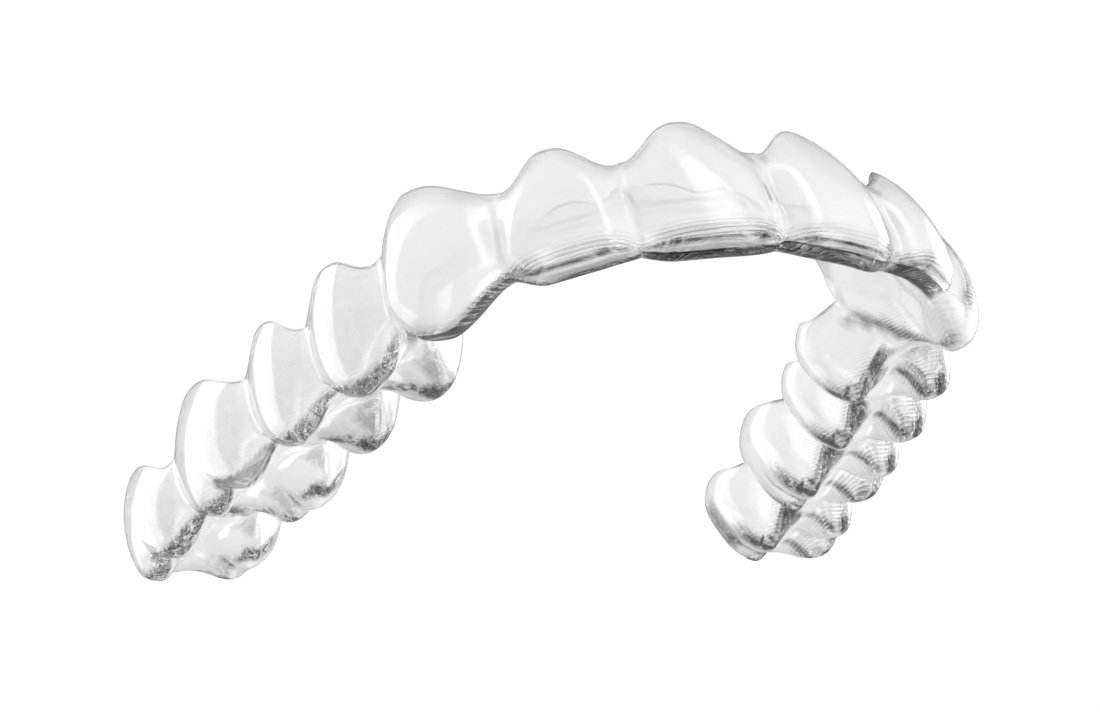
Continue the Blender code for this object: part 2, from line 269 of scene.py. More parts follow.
def outer_face(full_turn, shift, taken_up):
    """One side's outer face, a grid of distance along the arch by place along the section, in millimetres.

    Each point is its arch place plus outward * its outward direction, at its height. The second array
    holds the facts of each point, in the order of FACTS.
    """
    distances, widths = section_distances()
    outward, upward = sections(distances)
    widths = widths[:, None]
    middle = outward[:, TOP_SPOT : TOP_SPOT + 1]
    outward = middle + widths * (outward - middle)
    end_trim = (upward[:, :1] + upward[:, -1:]) / 2
    end_upward = end_trim + END_HEIGHT * ((upward + upward[:, ::-1]) / 2 - end_trim)
    upward = widths * upward + (1 - widths) * end_upward
    curves = smooth_curves(np.stack([outward, upward], axis=-1), SPOT_STEPS)
    places, normals = arch_line(distances, full_turn, shift, taken_up)
    flat = places[:, None] + normals[:, None] * curves[..., :1]
    chords = np.linalg.norm(np.diff(curves, axis=1, prepend=curves[:, :1]), axis=-1)
    nearest = np.clip(np.searchsorted(CONTACTS, distances, side="right") - 1, 0, len(TEETH) - 1)
    place = ((distances - MIDDLES[nearest]) / (WIDTHS[nearest] / 2))[:, None]
    shares = tooth_shares(distances)
    facts = [
        curves[..., 1],
        distances[:, None],
        np.cumsum(chords, axis=1),
        np.arange(curves.shape[1]) / SPOT_STEPS,
        place,
        np.where(nearest[:, None] < FIRST_MOLAR, place, 2 * place - np.sign(place)),
        shares[:, :FIRST_PREMOLAR].sum(axis=1, keepdims=True),
        shares[:, CANINE : CANINE + 1],
    ]
    facts = np.stack([np.broadcast_to(fact, curves.shape[:2]) for fact in facts], axis=-1)
    return np.concatenate([flat, curves[..., 1:]], axis=-1), facts


# The marks are products of soft bands: the rough skin and layer lines that the sheet takes from its
# printed model, and painted shade and painted reflections that stand in for the dark edges, outlines and
# grey faces that the clear plastic shows. Each row gives a band's limits (start, full, fade, end), or a
# soft step's (start, full), in the fact that it names, or in a measure that is worked out from the facts.
ON_RIGHT, ON_LEFT = (-0.5, 0.5), (0.5, -0.5)  # soft steps at the midline
PATCHES = {
    # Parts of the arch
    "right": {"distance": ON_RIGHT},
    "left": {"distance": ON_LEFT},
    "past_right_central": {"distance": (8.0, 9.2)},
    # Front teeth: facet in painted grey shade, painted dark streak at its top, layer lines before it, rough
    # edge and its painted dark borders
    "facet": {"past_facet_top": (0.0, 0.05), "past_edge_start": (-0.06, -0.16)},
    "streak": {"past_facet_top": (0.0, 0.04, 0.12, 0.28)},
    "edge_lines": {"in_line_zone": (-1.0, -0.2), "past_edge_start": (0.1, -0.05)},
    "edge": {"past_edge_start": (0.0, 0.12), "spot": (6.3, 6.0)},
    "near_border": {"past_edge_start": (0.0, 0.08, 0.16, 0.3)},
    "far_border": {"spot": (5.65, 5.8, 6.05, 6.3)},
    "worn_on_lateral": {"place": (0.1, 0.5)},
    "worn_at_contact": {"from_midline": (8.2, 8.5, 8.7, 9.0)},
    # Their creases, sides and trimmed edge, with painted shade in the creases and along the sides and edge
    "crease": {"distance": (0.65, 0.8, 0.95, 1.1), "spot": (2.1, 2.4, 2.8, 3.1)},
    "incisor_side": {"place": (0.55, 0.66, 0.74, 0.9), "spot": (1.2, 2.0, 4.2, 4.8)},
    "canine_side": {"place": (-0.75, -0.62, -0.5, -0.3), "spot": (0.5, 1.5, 4.2, 4.8)},
    "canine_crease": {"past_crease": (-0.7, -0.1, 0.05, 0.4), "spot": (5.7, 6.5, 9.6, 11.0)},
    "before_crease": {"past_crease": (0.1, -0.1), "spot": (5.2, 5.8, 8.6, 9.4)},
    "beside_crease": {"past_crease": (-1.5, -0.4, 0.0, 0.2)},
    "trimmed_edge": {"spot": (0.35, 0.15)},
    # Cheek side of the back teeth: cusps with painted dark borders, painted shade in the creases between
    # them, layer lines, and a painted reflection that greys the faces
    "cusp": {"oval": (1.0, 0.8)},
    "smooth_cusp": {"oval": (1.0, 0.9)},
    "cusp_border": {"oval": (0.6, 0.85, 0.95, 1.2), "past_oval": (-0.09, 0.21)},
    "crescent": {"lobe": (-0.5, -0.35, -0.1, 0.1), "spot": (4.0, 4.15, 4.4, 4.65)},
    "groove": {"lobe": (-0.35, -0.2, -0.1, 0.05), "spot": (4.8, 5.1, 5.9, 6.4)},
    "fold": {"distance": (45.6, 46.3, 46.9, 47.2), "spot": (4.6, 5.0, 5.8, 7.2)},
    "right_lines": {"spot": (3.2, 3.7, 4.4, 5.0), "oval": (0.8, 1.1)},
    "left_lines": {"spot": (3.4, 4.2, 5.2, 6.2), "lobe": (0.4, 0.1)},
    "face": {"place": (-1.0, -0.8), "past_face_end": (0.0, -0.06), "spot": (4.2, 3.6)},
    # Palate side of the left back teeth: the rough ridge along an arch in painted shade, its painted dark
    # strokes and ring, and its layer lines
    "ridge": {"arch": (0.82, 0.9, 1.1, 1.2), "lobe": (-1.0, -0.85), "ring": (0.8, 1.0)},
    "inner_stroke": {"arch": (0.95, 1.0, 1.04, 1.08), "lobe": (-0.6, -0.3)},
    "outer_stroke": {"arch": (1.13, 1.17, 1.21, 1.25), "lobe": (-0.6, -0.3)},
    "ring": {"ring": (0.75, 0.95, 1.05, 1.25)},
    "ridge_lines": {"arch": (0.55, 0.75, 0.9, 1.0)},
    "above_ridge_foot": {"fall": (0.25, 0.55)},
    "ridge_on_right": {"lobe": (-0.3, -0.5)},
    # Palate side of the right back teeth: the rough rim in painted shade, along the cusp and along its
    # foot, and a cusp in painted grey shade
    "rim_side": {"past_rim": (-0.2, -0.1, 0.08, 0.2), "spot": (7.2, 7.5, 8.9, 9.5)},
    "rim_foot": {"past_foot": (-0.3, -0.12, 0.06, 0.16), "lobe": (-0.1, 0.05, 0.5, 0.8)},
    "palate_cusp": {"spot": (5.8, 6.6, 9.0, 9.8)},
    # Painted shade on the trimmed edge on the palate side, at the far end of the left side and at the
    # contacts, and the haze
    "far_rim": {"distance": (-53.8, -53.2, -52.2, -51.0), "spot": (9.0, 9.4, 10.4, 11.2)},
    "palate_trim": {"from_middle": (0.55, 0.85), "spot": (11.7, 11.85)},
    "palate_clear": {"spot": (6.0, 7.0), "from_midline": (15.0, 13.0)},
    "full_haze": {"spot": (0.0, 3.0)},
}

# How dark each painted shade or painted reflection is. The shade is cut off near 1, so that a thin mark
# above it looks wider.
PAINTED_SHADES = {
    "facet": 0.3,
    "streak": 0.85,
    "border": 0.6,
    "smooth_edge": 0.5,
    "crease": 0.9,
    "canine_crease": 0.8,
    "incisor_side": 0.5,
    "canine_side": 0.5,
    "trimmed_edge": 0.6,
    "cusp_border": 0.7,
    "smooth_cusp": 0.45,
    "crescent": 2.0,
    "groove": 0.8,
    "fold": 0.5,
    "face": 0.1,
    "ridge": 0.5,
    "strokes": 0.9,
    "rim": 0.4,
    "palate_cusp": 0.14,
    "far_rim": 0.7,
    "palate_trim": 0.6,
}

# The spots at which a front tooth's facet and its rough edge begin, on a left incisor. Then what is added
# on the right side, past its central incisor, on a canine, and for the facet towards a contact.
EDGE_START, EDGE_ON_RIGHT, EDGE_PAST_CENTRAL, EDGE_ON_CANINE = 4.98, 0.3, 0.35, -0.4
FACET_TOP, FACET_PAST_CENTRAL, FACET_ON_CANINE, FACET_AT_CONTACT = 4.55, 0.15, 0.7, 0.45
LINE_ZONE, ZONE_PAST_CENTRAL, ZONE_ON_CANINE = 0.9, 0.2, -0.5  # spots over which the layer lines fade in
FACET_FADE = 0.4  # how much fainter the facet is past the right central incisor
WORN_AT_CONTACT, WORN_ON_CANINE = 0.8, 0.9  # share of the rough edge that is worn off
# The left canine's crease on the palate side, drawn as a painted dark line: its distance from the
# midline at each spot, how far its distances are drawn together past a spot, and the share of layer lines
# before it and close beside it
CREASE = ([5.2, 6.1, 6.6, 6.9, 7.2, 9.0, 10.0], [18.6, 18.9, 19.7, 21.5, 22.3, 23.0, 23.25])
CREASE_NARROWS, NARROW_FROM, NARROW_TO = 0.4, 7.0, 8.5
LINES_BEFORE_CREASE, LINES_BESIDE_CREASE = 0.15, 0.7
# A cheek cusp's rough oval: its middle spot, half its reach, and how it leans along the lobe
OVAL_SPOT_LEFT, OVAL_HALF_LEFT = 4.05, 0.4
OVAL_SPOT_RIGHT, OVAL_HALF_RIGHT, OVAL_LEAN = 4.4, 0.48, 0.45
CUSP_ON_LEFT = 0.35  # how rough it is on the left, where 1 is fully
LINES_ON_RIGHT, LINES_ON_LEFT, LINES_ON_RIDGE = 0.15, 0.75, 0.8  # strength of the layer lines
# The palate ridge's arch: its foot and the spots to its tip, its start on the lobe and half its width,
# and how far a molar's first half shifts it
RIDGE_FOOT, RIDGE_REACH = 10.8, 3.6
RIDGE_LOBE, RIDGE_HALF, RIDGE_SHIFT = -0.8, 0.75, 0.45
RIDGE_ON_RIGHT = 0.25  # how strong it is on the right, where 1 is fully
RING_PLACE, RING_SPOT, RING_SIZE = 0.52, 8.3, (0.16, 0.4)  # a small ring of painted dark shade within the arch
OUT_OF_REACH = 9.0  # added on the right, which has no ring
# The rough rim of the right side's palate cusps, with painted shade on it: its lobe at each spot, the
# line of its foot, as a spot and its lean along the lobe, and how a molar's first half shifts both and
# squeezes the foot
RIM = ([7.2, 7.5, 7.9, 8.5, 9.5], [0.05, -0.13, -0.24, -0.28, -0.3])
RIM_FOOT, RIM_LEAN = 7.2, 0.5
RIM_SHIFT, FOOT_SHIFT, FOOT_SQUEEZE = 0.25, 0.45, 0.6
# Where the painted reflection on the faces of the right back teeth turns from grey to white: the place at
# each distance
FACE_END = ([27.2, 33.5, 41.2, 50.3], [0.16, 0.0, -0.18, -0.33])
TRIM_HAZE = 0.5  # share of the haze that is left at the trimmed edge of the faces


def patch(name, facts):
    """One mark as a share of each point: the product of its soft steps and soft bands."""
    share = 1
    for fact, (start, full, *way_out) in PATCHES[name].items():
        share = share * ease((facts[fact] - start) / (full - start))
        if way_out:
            fade, end = way_out
            share = share * ease((end - facts[fact]) / (end - fade))
    return share


def front_marks(facts):
    """The front teeth's rough skin and layer lines as shares of each point, and their painted shade marks.

    A facet in painted grey shade lies before the biting edge, with a painted dark streak at its top, and
    the layer lines fade in before it. The edge itself is rough between two painted dark borders, and is
    worn off at the contacts and on the left canine. The canine's crease follows its own line on the palate
    side as a painted dark line, with faint layer lines before it. Painted shade also lies in the midline
    crease and along the turned-away sides and the trimmed edge.
    """
    distance, spot, place, front, canine = (
        facts[name] for name in ("distance", "spot", "place", "front", "canine")
    )
    right, left, past_central = (patch(name, facts) for name in ("right", "left", "past_right_central"))
    left_incisor = (distance < 0) * (-distance < CONTACTS[1])
    left_lateral = (-distance > CONTACTS[1]) * (-distance < CONTACTS[CANINE])
    left_canine = (-distance > CONTACTS[CANINE]) * (-distance < CONTACTS[CANINE + 1])

    edge_start = EDGE_START + EDGE_ON_RIGHT * right + EDGE_PAST_CENTRAL * past_central
    edge_start = edge_start + EDGE_ON_CANINE * canine
    facet_top = FACET_TOP + FACET_PAST_CENTRAL * past_central + FACET_ON_CANINE * canine
    facet_top = facet_top + FACET_AT_CONTACT * place**4
    line_zone = LINE_ZONE + ZONE_PAST_CENTRAL * past_central + ZONE_ON_CANINE * canine
    narrowing = 1 + CREASE_NARROWS * ease((spot - NARROW_FROM) / (NARROW_TO - NARROW_FROM))
    facts = {
        **facts,
        "past_edge_start": spot - edge_start,
        "past_facet_top": spot - facet_top,
        "in_line_zone": (spot - facet_top) / line_zone,
        "past_crease": left * narrowing * (-distance - np.interp(spot, *CREASE)),
    }
    facet = patch("facet", facts) * (1 - canine)
    kept = 1 - left_lateral * patch("worn_on_lateral", facts) - WORN_ON_CANINE * left_canine
    kept = kept * (1 - WORN_AT_CONTACT * patch("worn_at_contact", facts))
    edge = patch("edge", facts) * kept
    canine_side = left_canine * patch("canine_side", facts)
    crease_lines = LINES_BEFORE_CREASE + LINES_BESIDE_CREASE * patch("beside_crease", facts)
    crease_lines = left_canine * patch("before_crease", facts) * crease_lines
    lines = patch("edge_lines", facts) * (1 - facet) + crease_lines + canine_side
    # Painted shade: each mark darkens the colour where the clear plastic looks dark at its edges, creases
    # and sides
    smooth = {
        "facet": facet * (1 - FACET_FADE * past_central) * front,
        "streak": patch("streak", facts) * facet * (1 - place**4) * front,
        "border": (patch("near_border", facts) + patch("far_border", facts)) * kept * front,
        "smooth_edge": edge * (left_lateral + canine) * front,
        "crease": patch("crease", facts),
        "canine_crease": left * patch("canine_crease", facts),
        "incisor_side": left_incisor * patch("incisor_side", facts),
        "canine_side": canine_side,
        "trimmed_edge": (left_lateral + left_canine) * patch("trimmed_edge", facts),
    }
    return edge, lines, smooth


def back_marks(facts):
    """The back teeth's rough skin and layer lines as shares of each point, and their painted shade and
    painted reflection.

    Each cheek cusp has a rough oval: lobe^2 + ((spot - its middle) / half its reach)^2 < 1. On the palate
    side of the left teeth a rough ridge follows a squared arch, (across^4 + fall^4)^(1/4) = 1, where fall
    is the way left to its foot. On the right teeth the rough rim follows its own line and turns along the
    cusp's foot. Painted dark shade lies along the ovals' borders, the ridge, its strokes and ring, the rim,
    the crescents, grooves and folds and the trimmed edges, and a painted reflection greys the right faces.
    """
    distance, spot, place, lobe = (facts[name] for name in ("distance", "spot", "place", "lobe"))
    right, left = patch("right", facts), patch("left", facts)
    on_right = distance > 0
    first_half = (np.abs(distance) > CONTACTS[FIRST_MOLAR]) * (place < 0)
    right_first_half = (distance > CONTACTS[FIRST_MOLAR]) * (distance < MIDDLES[FIRST_MOLAR])

    past_oval = spot - np.where(on_right, OVAL_SPOT_RIGHT - OVAL_LEAN * lobe, OVAL_SPOT_LEFT)
    fall = np.maximum((RIDGE_FOOT - spot) / RIDGE_REACH, 0)
    across = lobe - RIDGE_LOBE - RIDGE_SHIFT * first_half
    ring = np.hypot((across - RING_PLACE) / RING_SIZE[0], (spot - RING_SPOT) / RING_SIZE[1])
    past_foot = spot - RIM_FOOT + RIM_LEAN * lobe - FOOT_SHIFT * first_half
    facts = {
        **facts,
        "past_oval": past_oval,
        "oval": lobe**2 + (past_oval / np.where(on_right, OVAL_HALF_RIGHT, OVAL_HALF_LEFT)) ** 2,
        "past_face_end": place - np.interp(distance, *FACE_END),
        "fall": fall,
        "arch": (np.maximum(across / RIDGE_HALF, 0) ** 4 + fall**4) ** (1 / 4),
        "ring": ring + OUT_OF_REACH * right,
        "past_rim": np.interp(spot, *RIM) + RIM_SHIFT * first_half - lobe,
        "past_foot": past_foot * (1 + FOOT_SQUEEZE * first_half),
    }
    smooth_cusp = right_first_half * right * patch("smooth_cusp", facts)
    cusp = patch("cusp", facts) * (right * (1 - smooth_cusp) + CUSP_ON_LEFT * left)
    fold = patch("fold", facts)
    kept = left + RIDGE_ON_RIGHT * right * patch("ridge_on_right", facts)
    kept = patch("above_ridge_foot", facts) * kept
    ridge = patch("ridge", facts) * kept
    strokes = (patch("inner_stroke", facts) + patch("outer_stroke", facts)) * kept
    rim = np.maximum(patch("rim_side", facts), patch("rim_foot", facts)) * right
    lines = LINES_ON_RIGHT * right * patch("right_lines", facts)
    lines = lines + LINES_ON_LEFT * left * patch("left_lines", facts)
    lines = np.maximum(lines, LINES_ON_RIDGE * patch("ridge_lines", facts) * kept)
    # Painted shade, and on the right faces a painted reflection that greys them
    smooth = {
        "cusp_border": right * patch("cusp_border", facts),
        "smooth_cusp": smooth_cusp,
        "crescent": left * patch("crescent", facts),
        "groove": left * patch("groove", facts),
        "fold": fold,
        "face": right * patch("face", facts),
        "ridge": ridge,
        "strokes": strokes + patch("ring", facts),
        "rim": rim,
        "palate_cusp": right * patch("palate_cusp", facts) * (distance < CONTACTS[FIRST_MOLAR]),
        "far_rim": patch("far_rim", facts),
        "palate_trim": left * patch("palate_trim", facts),
    }
    return np.max([cusp, ridge, fold, rim], axis=0), lines, smooth


def surface_values(facts):
    """The values that the material reads at each point: the marks and their painted shade, each on its own
    teeth, and the haze.
    """
    front, back = facts["front"], 1 - facts["front"]
    facts = {**facts, "from_midline": np.abs(facts["distance"]), "from_middle": np.abs(facts["place"])}
    front_rough, front_lines, front_painted_shade = front_marks(facts)
    back_rough, back_lines, back_painted_shade = back_marks(facts)
    # The painted shade of the front and of the back teeth
    front_shade = sum(PAINTED_SHADES[name] * share for name, share in front_painted_shade.items())
    back_shade = sum(PAINTED_SHADES[name] * share for name, share in back_painted_shade.items())
    haze = BACK_HAZE + (FRONT_HAZE - BACK_HAZE) * front
    haze = haze * (1 - front * patch("palate_clear", facts))
    return {
        "height_mm": facts["height"],
        "rough_skin_and_shade": front_rough * front + back_rough * back,
        "layer_lines_and_shade": front_lines * front + back_lines * back,
        "painted_shade": front_shade + back_shade * back,
        "front_teeth": front,
        "haze": haze * (TRIM_HAZE + (1 - TRIM_HAZE) * patch("full_haze", facts)),
    }


def shell_mesh():
    """The shell as a closed sheet: its outer face, the same face sunk by the wall, and the edge between.

    It comes with the shift, in metres, that stands the arch in the middle of the CAD part's box.
    """
    left, left_facts = outer_face(ARCH_TURN_LEFT, MIDLINE_SHIFT, TAKEN_UP_LEFT)
    right, right_facts = outer_face(ARCH_TURN_RIGHT, -MIDLINE_SHIFT, TAKEN_UP_RIGHT)
    grid = np.concatenate([left[:0:-1] * (-1, 1, 1), right])
    left_facts[..., FACTS.index("distance")] *= -1
    facts = np.concatenate([left_facts[:0:-1], right_facts]).reshape(-1, len(FACTS))
    pitch = math.radians(REST_PITCH)
    forward, upward = grid[..., 1].copy(), grid[..., 2].copy()
    grid[..., 1] = forward * math.cos(pitch) + upward * math.sin(pitch)
    grid[..., 2] = upward * math.cos(pitch) - forward * math.sin(pitch)

    # The far ends close by sharing the points of their two halves
    rows, columns = grid.shape[:2]
    index = np.arange(rows * columns).reshape(rows, columns)
    half = columns // 2
    for end in (0, -1):
        index[end, half + 1 :] = index[end, :half][::-1]
    used, index = np.unique(index, return_inverse=True)
    index = index.reshape(rows, columns)
    quads = np.stack([index[:-1, :-1], index[1:, :-1], index[1:, 1:], index[:-1, 1:]], axis=-1)
    quads = quads.reshape(-1, 4)
    outer = grid.reshape(-1, 3)[used] * MM
    facts = facts[used]

    # The outward directions are those that Blender works out for the face alone
    face = bpy.data.meshes.new("outer_face")
    face.from_pydata(outer, [], quads.tolist())
    directions = np.empty(outer.size, np.float32)
    face.vertex_normals.foreach_get("vector", directions)
    bpy.data.meshes.remove(face)
    inner = outer - WALL * MM * directions.reshape(-1, 3)

    # The cut edge bulges a little between the two faces
    count = len(outer)
    edge = np.concatenate([index[:, 0], index[-2::-1, -1]])
    beside = np.concatenate([index[:, 1], index[-2::-1, -2]])
    beyond = outer[edge] - outer[beside]
    beyond /= np.linalg.norm(beyond, axis=1, keepdims=True)
    cut = (outer[edge] + inner[edge]) / 2 + CUT_BULGE * MM * beyond
    ring = 2 * count + np.arange(len(edge))
    edge_faces = [
        np.stack([edge[1:], edge[:-1], ring[:-1], ring[1:]], axis=-1),
        np.stack([ring[1:], ring[:-1], edge[:-1] + count, edge[1:] + count], axis=-1),
    ]
    faces = np.concatenate([quads, quads[:, ::-1] + count, *edge_faces])
    corners = np.concatenate([outer, inner, cut])
    low, high = np.array(cad_box)
    shift = (low + high) / 2 - (corners.min(axis=0) + corners.max(axis=0)) / 2
    shift[2] = low[2] - corners[:, 2].min()
    mesh = bpy.data.meshes.new("aligner_shell")
    mesh.from_pydata(corners + shift, [], faces.tolist())

    facts = dict(zip(FACTS, np.concatenate([facts, facts, facts[edge]]).T))
    for name, values in surface_values(facts).items():
        attribute = mesh.attributes.new(name, "FLOAT", "POINT")
        attribute.data.foreach_set("value", values.astype(np.float32))
    on_sheet = np.stack([facts["distance"], facts["length"], np.zeros(len(corners))], axis=-1)
    attribute = mesh.attributes.new("on_sheet_mm", "FLOAT_VECTOR", "POINT")
    attribute.data.foreach_set("vector", on_sheet.astype(np.float32).ravel())
    mesh.shade_smooth()
    return mesh, shift


def add_node(tree, kind, inputs=(), **settings):
    """Add a node with its settings. Each input is a value, or a link from a node or from an output."""
    made = tree.nodes.new(kind)
    for name, value in settings.items():
        setattr(made, name, value)
    for name, value in dict(inputs).items():
        if isinstance(value, bpy.types.Node):
            value = value.outputs[0]
        if isinstance(value, bpy.types.NodeSocket):
            tree.links.new(value, made.inputs[name])
        else:
            made.inputs[name].default_value = value
    return made


def linear(hex_colour):
    """An sRGB hex colour as linear red, green, blue and alpha."""
    srgb = np.array([int(hex_colour[i : i + 2], 16) for i in (0, 2, 4)]) / 255
    red, green, blue = np.where(srgb <= 0.04045, srgb / 12.92, ((srgb + 0.055) / 1.055) ** 2.4)
    return float(red), float(green), float(blue), 1.0


# Polyurethane sheet, thermoformed: water-clear and glossy, with a faint haze. It takes the fine steps
# of the printed model's layers, which show as bumped lines near the biting edges, darkened with painted
# shade. Where the layers lie nearly level, it takes their rough skin, bumped and rougher; painted shade
# makes the edges and the cusps look dark and scaly, and the other painted shades and painted
# reflections darken its colour where the clear plastic's edges, sides and faces look dark or grey.
# The clear sheet's colour, and the dark colour of the painted shade
SHEET_COLOUR, PAINTED_SHADE_COLOUR = "FCFCFC", "1E1F20"
REFRACTION = 1.5
ABSORBED_COLOUR, ABSORPTION = "CACACA", 170.0  # per metre: it greys where the light passes along the wall
SHADOW_COLOUR = "F4F5F5"  # of the light that comes through to the table
SMOOTH_ROUGHNESS, SCALY_ROUGHNESS = 0.03, 0.08
LAYER = 0.21  # drawn twice as thick as the real 0.1 mm, so that it shows
WOBBLE, WOBBLE_SIZE = 3.0, 3.0  # of the lines, in radians, and how far apart
PATCH_SIZE, PATCH_LEVELS, FAINTEST = 4.0, (0.3, 0.55), 0.35  # of the lines' strong and faint places
CRUMB = 0.95  # size of a rough place on a cusp
STREAK_LENGTH, STREAK_WIDTH = 1.6, 0.28  # of one on a front tooth's edge
SKIN_DETAIL, CRUMB_TWIST, STREAK_TWIST = 3.0, 1.5, 0.6  # finer steps of the noise, and how it is twisted
NOISE_MIDDLE = 0.5
VEIN_HALF, VEIN_END = 0.015, 0.045  # of the dark veins, in levels away from the noise's middle
FLECK_LEVELS = (0.54, 0.58)  # above which the skin is clear
LINE_DEPTH, CRUMB_DEPTH = 0.03, 0.35  # as bumps
LINE_SHADE = 0.6  # how dark their painted shade is, from 0 to 1
# Painted shade in the rough skin, and more in its veins
CRUMB_SHADE, VEIN_SHADE = 0.5, 0.45
UNEVEN_LEVELS, UNEVEN_SHADES = (0.3, 0.7), (1.3, 0.5)  # of the painted shade marks
DARKEST = 0.97

clear = bpy.data.materials.new("clear_polyurethane_thermoformed")
clear.use_nodes = True
tree = clear.node_tree
tree.nodes.clear()
place = add_node(tree, "ShaderNodeTexCoord").outputs["Object"]
on_sheet = add_node(tree, "ShaderNodeAttribute", attribute_name="on_sheet_mm").outputs["Vector"]
# The painted shade marks, and the rough skin and layer lines, which carry painted shade beside their bumps
height, lines, scaly, smooth, front, hazy = (
    add_node(tree, "ShaderNodeAttribute", attribute_name=name).outputs["Fac"]
    for name in ("height_mm", "layer_lines_and_shade", "rough_skin_and_shade", "painted_shade", "front_teeth", "haze")
)

# Layer lines: a sine of the height above the biting plane, made to wander and to fade in places
wander = add_node(
    tree, "ShaderNodeTexNoise", {"Vector": place, "Scale": 1 / (WOBBLE_SIZE * MM), "Detail": 1.0}
)
wander = add_node(tree, "ShaderNodeMath", {0: wander, 1: WOBBLE}, operation="MULTIPLY")
per_height = 2 * math.pi / LAYER
phase = add_node(tree, "ShaderNodeMath", {0: height, 1: per_height, 2: wander}, operation="MULTIPLY_ADD")
wave = add_node(tree, "ShaderNodeMath", {0: phase}, operation="SINE")
layers = add_node(tree, "ShaderNodeMapRange", {"Value": wave, "From Min": -1.0})
patches = add_node(
    tree, "ShaderNodeTexNoise", {"Vector": place, "Scale": 1 / (PATCH_SIZE * MM), "Detail": 1.0}
)
patches = add_node(
    tree,
    "ShaderNodeMapRange",
    {"Value": patches, "From Min": PATCH_LEVELS[0], "From Max": PATCH_LEVELS[1], "To Min": FAINTEST},
)
strength = add_node(tree, "ShaderNodeMath", {0: lines, 1: patches}, operation="MULTIPLY")
line_height = add_node(tree, "ShaderNodeMath", {0: layers, 1: strength}, operation="MULTIPLY")
# Painted shade in the dips of the layer lines
line_shade = add_node(tree, "ShaderNodeMath", {0: layers, 1: line_height}, operation="MULTIPLY")
line_shade = add_node(tree, "ShaderNodeMath", {0: line_shade, 1: LINE_SHADE}, operation="MULTIPLY")

# Rough skin: crumbs on the cusps, streaks along the front edges, painted dark shade with darker veins, and
# clear flecks
crumbs = add_node(
    tree,
    "ShaderNodeTexNoise",
    {"Vector": place, "Scale": 1 / (CRUMB * MM), "Detail": SKIN_DETAIL, "Distortion": CRUMB_TWIST},
)
stretch = (1 / STREAK_LENGTH, 1 / STREAK_WIDTH, 1.0)
stretched = add_node(tree, "ShaderNodeVectorMath", {0: on_sheet, 1: stretch}, operation="MULTIPLY")
streaks = add_node(
    tree,
    "ShaderNodeTexNoise",
    {"Vector": stretched, "Scale": 1.0, "Detail": SKIN_DETAIL, "Distortion": STREAK_TWIST},
)
grain = add_node(tree, "ShaderNodeMix", {0: front, 2: crumbs, 3: streaks}, data_type="FLOAT")
from_middle = add_node(tree, "ShaderNodeMath", {0: grain, 1: NOISE_MIDDLE}, operation="SUBTRACT")
from_middle = add_node(tree, "ShaderNodeMath", {0: from_middle}, operation="ABSOLUTE")
veins = add_node(
    tree,
    "ShaderNodeMapRange",
    {
        "Value": from_middle,
        "From Min": VEIN_HALF,
        "From Max": VEIN_END,
        "To Min": CRUMB_SHADE + VEIN_SHADE,
        "To Max": CRUMB_SHADE,
    },
)
flecks = add_node(
    tree,
    "ShaderNodeMapRange",
    {
        "Value": grain,
        "From Min": FLECK_LEVELS[0],
        "From Max": FLECK_LEVELS[1],
        "To Min": 1.0,
        "To Max": 0.0,
    },
)
skin_shade = add_node(tree, "ShaderNodeMath", {0: veins, 1: flecks}, operation="MULTIPLY")
skin_shade = add_node(tree, "ShaderNodeMath", {0: skin_shade, 1: scaly}, operation="MULTIPLY")

# All the painted shades together darken the sheet's colour
uneven = add_node(
    tree,
    "ShaderNodeMapRange",
    {
        "Value": grain,
        "From Min": UNEVEN_LEVELS[0],
        "From Max": UNEVEN_LEVELS[1],
        "To Min": UNEVEN_SHADES[0],
        "To Max": UNEVEN_SHADES[1],
    },
)
shade = add_node(tree, "ShaderNodeMath", {0: smooth, 1: uneven, 2: line_shade}, operation="MULTIPLY_ADD")
shade = add_node(tree, "ShaderNodeMath", {0: shade, 1: skin_shade}, operation="ADD")
shade = add_node(tree, "ShaderNodeMath", {0: shade, 1: DARKEST}, operation="MINIMUM")
tint = add_node(
    tree, "ShaderNodeMix", {0: shade, 6: linear(SHEET_COLOUR), 7: linear(PAINTED_SHADE_COLOUR)}, data_type="RGBA"
).outputs[2]

# The marks lie on clear sheet, and the haze between them
marked = add_node(tree, "ShaderNodeMath", {0: scaly, 1: strength}, operation="ADD")
marked = add_node(tree, "ShaderNodeMath", {0: marked, 1: smooth}, operation="ADD", use_clamp=True)
plain = add_node(tree, "ShaderNodeMath", {0: 1.0, 1: marked}, operation="SUBTRACT")
haze = add_node(tree, "ShaderNodeMath", {0: hazy, 1: plain}, operation="MULTIPLY")
clearness = add_node(tree, "ShaderNodeMapRange", {"Value": haze, "To Min": 1.0, "To Max": 0.0})

line_bump = add_node(tree, "ShaderNodeBump", {"Height": line_height, "Distance": LINE_DEPTH * MM})
crumb_height = add_node(tree, "ShaderNodeMath", {0: grain, 1: scaly}, operation="MULTIPLY")
bump = add_node(
    tree, "ShaderNodeBump", {"Height": crumb_height, "Distance": CRUMB_DEPTH * MM, "Normal": line_bump}
)
roughness = add_node(
    tree, "ShaderNodeMapRange", {"Value": scaly, "To Min": SMOOTH_ROUGHNESS, "To Max": SCALY_ROUGHNESS}
)
plastic = add_node(
    tree,
    "ShaderNodeBsdfPrincipled",
    {
        "Base Color": tint,
        "Roughness": roughness,
        "IOR": REFRACTION,
        "Transmission Weight": clearness,
        "Normal": bump,
    },
)
lets_light_through = add_node(tree, "ShaderNodeBsdfTransparent", {"Color": linear(SHADOW_COLOUR)})
shadow_ray = add_node(tree, "ShaderNodeLightPath").outputs["Is Shadow Ray"]
seen = add_node(tree, "ShaderNodeMixShader", {0: shadow_ray, 1: plastic, 2: lets_light_through})
